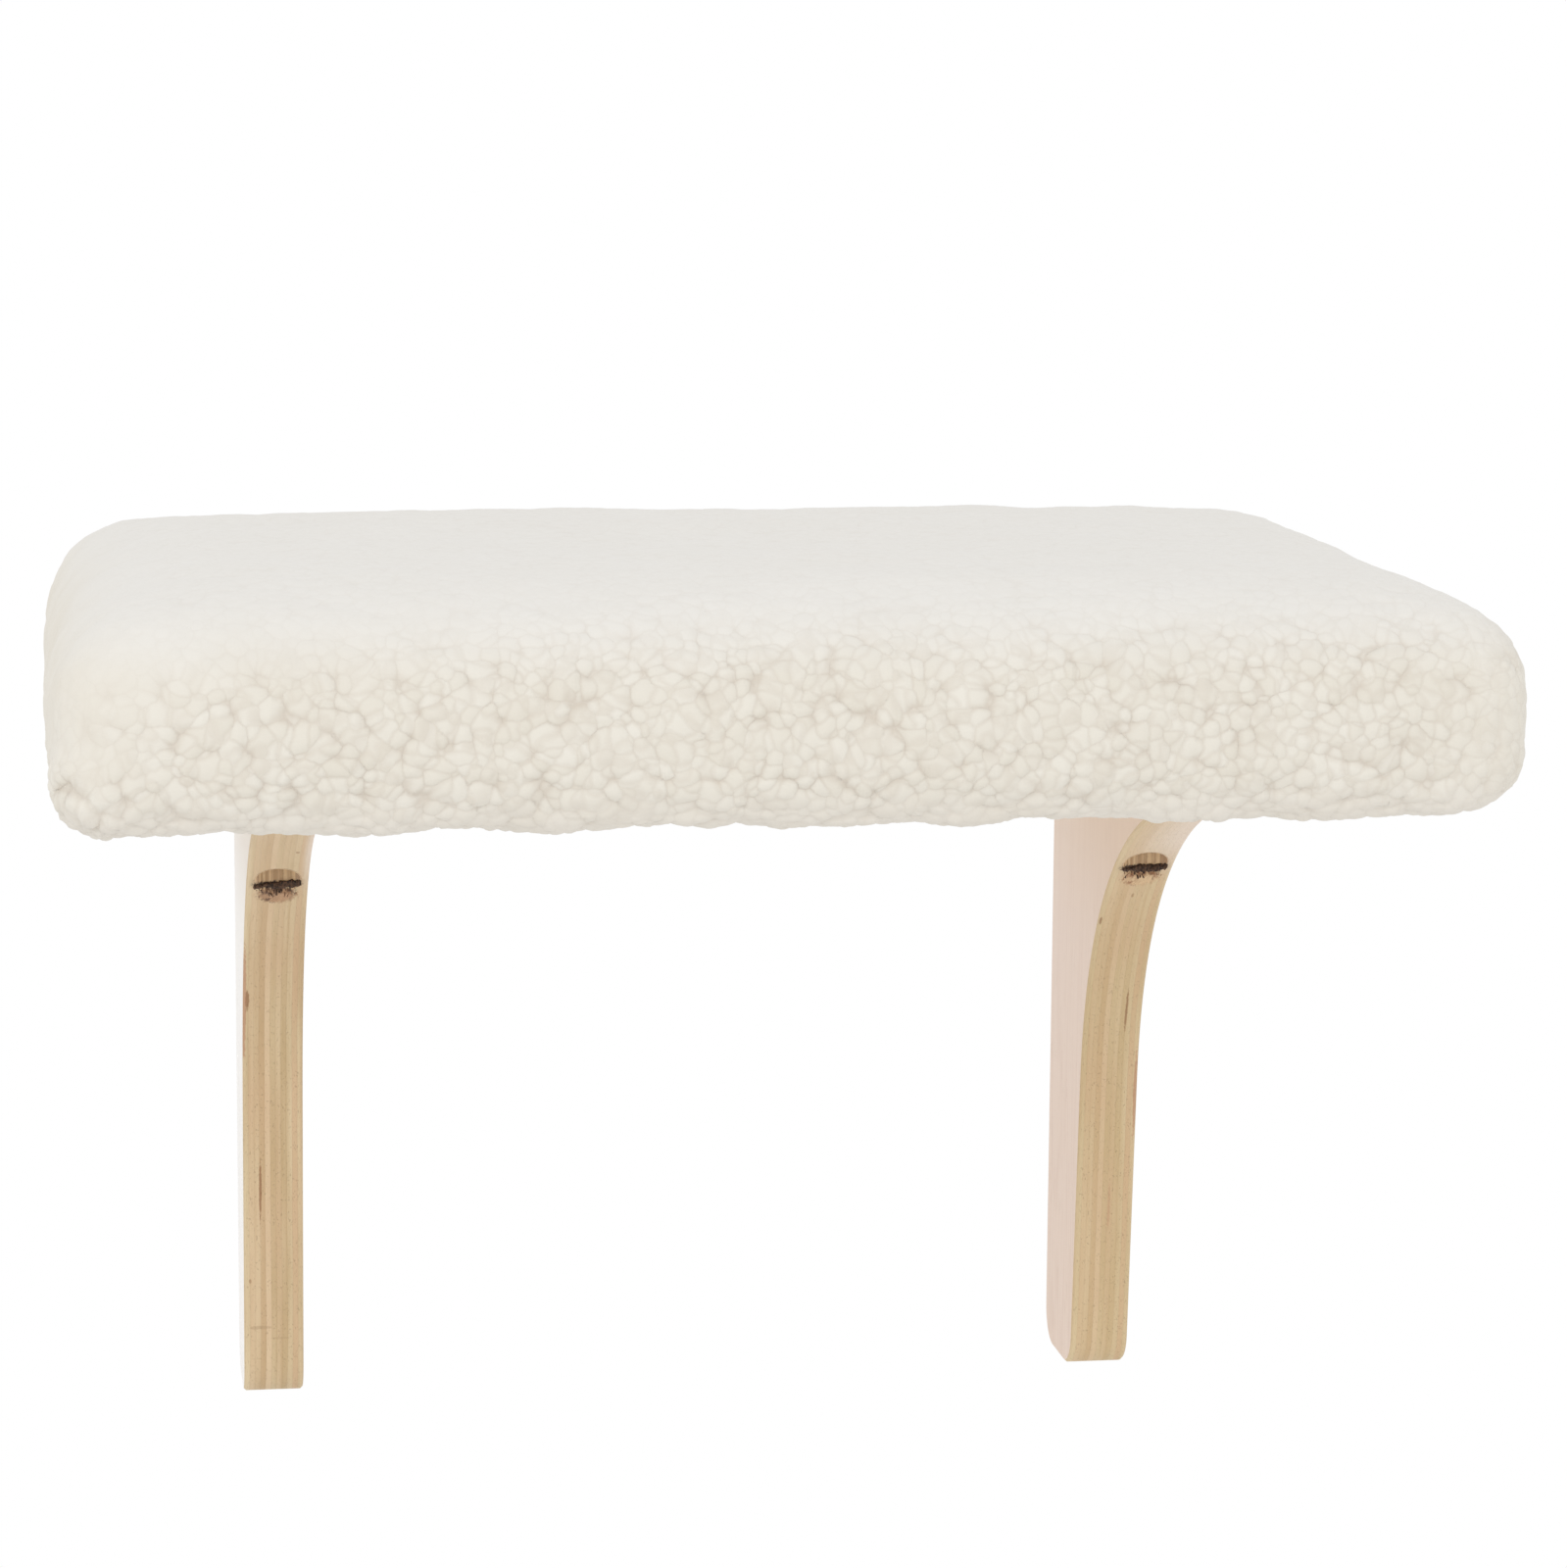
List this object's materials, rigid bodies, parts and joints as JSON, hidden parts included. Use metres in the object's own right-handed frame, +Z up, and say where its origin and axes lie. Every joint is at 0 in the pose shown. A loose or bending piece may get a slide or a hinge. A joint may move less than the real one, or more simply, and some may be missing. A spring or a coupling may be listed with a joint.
{
  "type": "cat perch",
  "caption": "Wall-hung perch: a padded fleece-covered seat bolted to curved plywood brackets with keyholes in their back edges.",
  "frame": {"origin": "midway between the two keyhole entries, in the wall plane", "axes": "+X along the wall, +Y into the wall, +Z up"},
  "size_m": [0.551, 0.3733, 0.385],
  "materials": {
    "fleece": "curly cream pile",
    "foam": "open-cell foam",
    "board_plywood": "sanded, unfinished",
    "bracket_plywood": "sanded, unfinished",
    "zinc_steel": "bright zinc",
    "staple_wire": "galvanised wire"
  },
  "bodies": {
    "root": {"fleece_cover": "fleece", "foam_pad": "foam", "deck_board": "board_plywood", "bracket_left": "bracket_plywood", "bracket_right": "bracket_plywood", "bolt_left_rear": "zinc_steel", "bolt_left_front": "zinc_steel", "bolt_right_rear": "zinc_steel", "bolt_right_front": "zinc_steel", "washer_left_rear": "zinc_steel", "washer_left_front": "zinc_steel", "washer_right_rear": "zinc_steel", "washer_right_front": "zinc_steel", "tee_nut_left_rear": "zinc_steel", "tee_nut_left_front": "zinc_steel", "tee_nut_right_rear": "zinc_steel", "tee_nut_right_front": "zinc_steel", "hem_staples_front": "staple_wire", "hem_staples_back": "staple_wire", "hem_staples_left": "staple_wire", "hem_staples_right": "staple_wire"}
  },
  "joints": []
}
